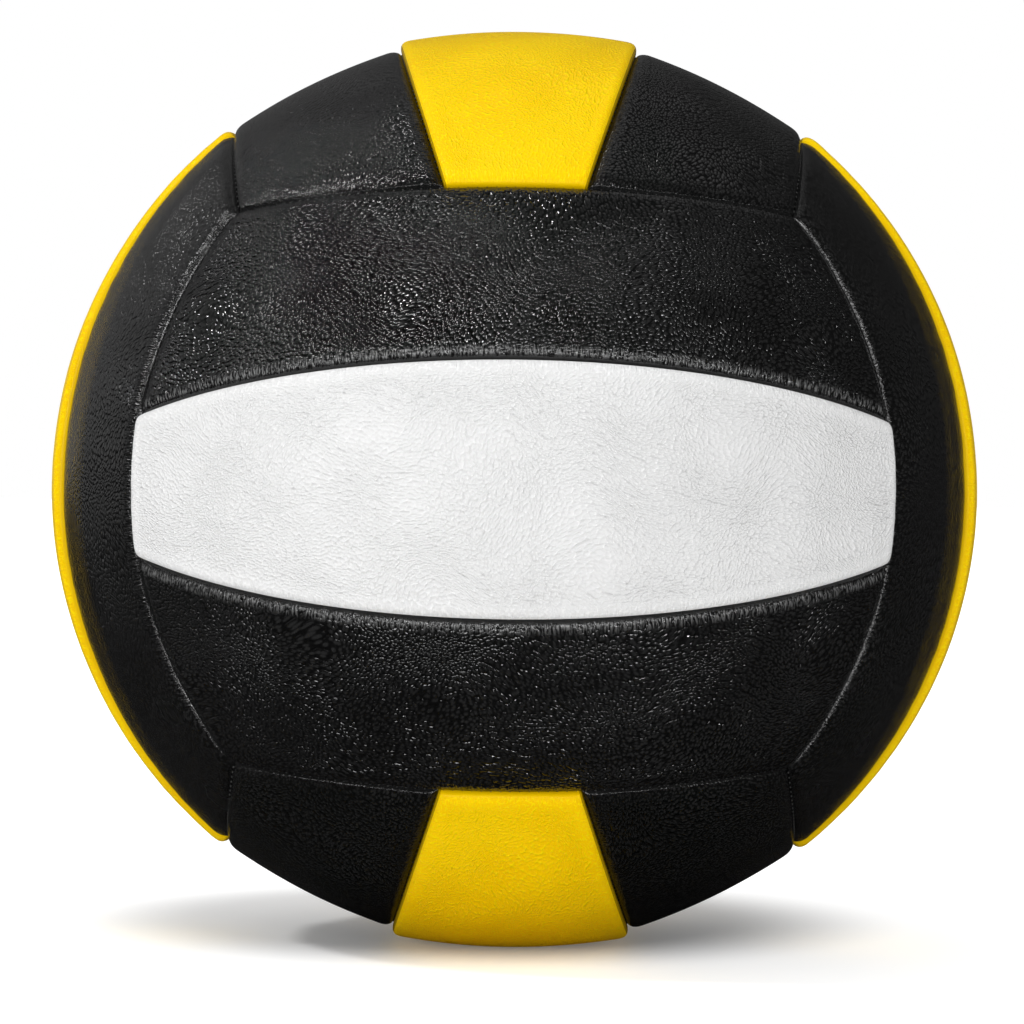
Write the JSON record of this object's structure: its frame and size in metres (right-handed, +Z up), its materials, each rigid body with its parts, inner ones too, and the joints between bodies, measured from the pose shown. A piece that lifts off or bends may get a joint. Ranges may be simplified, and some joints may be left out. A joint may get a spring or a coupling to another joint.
{
  "type": "weighted volleyball",
  "caption": "Sewn-panel training volleyball with crowned leather panels in black, yellow and white, foam backing and a heavy valved bladder.",
  "frame": {"origin": "centre of the ball", "axes": "+Z up, as the ball lies in the picture; -Y out of the white panel that faces the viewer; +Y along the valve's axis, out of the cover; X and Y span the level plane, +X to the viewer's right"},
  "size_m": [0.21, 0.2098, 0.2077],
  "materials": {
    "cover_black": "gloss",
    "cover_yellow": "satin",
    "cover_white": "satin",
    "foam": "matte",
    "bladder_rubber": "satin",
    "valve_rubber": "satin"
  },
  "bodies": {
    "root": {"front_lower_panel": "cover_black", "front_lower_foam": "foam", "front_middle_panel": "cover_white", "front_middle_foam": "foam", "front_upper_panel": "cover_black", "front_upper_foam": "foam", "back_lower_panel": "cover_black", "back_lower_foam": "foam", "back_middle_panel": "cover_white", "back_middle_foam": "foam", "back_upper_panel": "cover_black", "back_upper_foam": "foam", "top_right_panel": "cover_black", "top_right_foam": "foam", "top_middle_panel": "cover_yellow", "top_middle_foam": "foam", "top_left_panel": "cover_black", "top_left_foam": "foam", "bottom_left_panel": "cover_black", "bottom_left_foam": "foam", "bottom_middle_panel": "cover_yellow", "bottom_middle_foam": "foam", "bottom_right_panel": "cover_black", "bottom_right_foam": "foam", "right_back_panel": "cover_black", "right_back_foam": "foam", "right_middle_panel": "cover_yellow", "right_middle_foam": "foam", "right_front_panel": "cover_black", "right_front_foam": "foam", "left_front_panel": "cover_black", "left_front_foam": "foam", "left_middle_panel": "cover_yellow", "left_middle_foam": "foam", "left_back_panel": "cover_black", "left_back_foam": "foam", "bladder": "bladder_rubber", "valve_patch": "bladder_rubber", "balance_patch": "bladder_rubber", "valve_seat": "valve_rubber", "valve_core": "valve_rubber"}
  },
  "joints": []
}
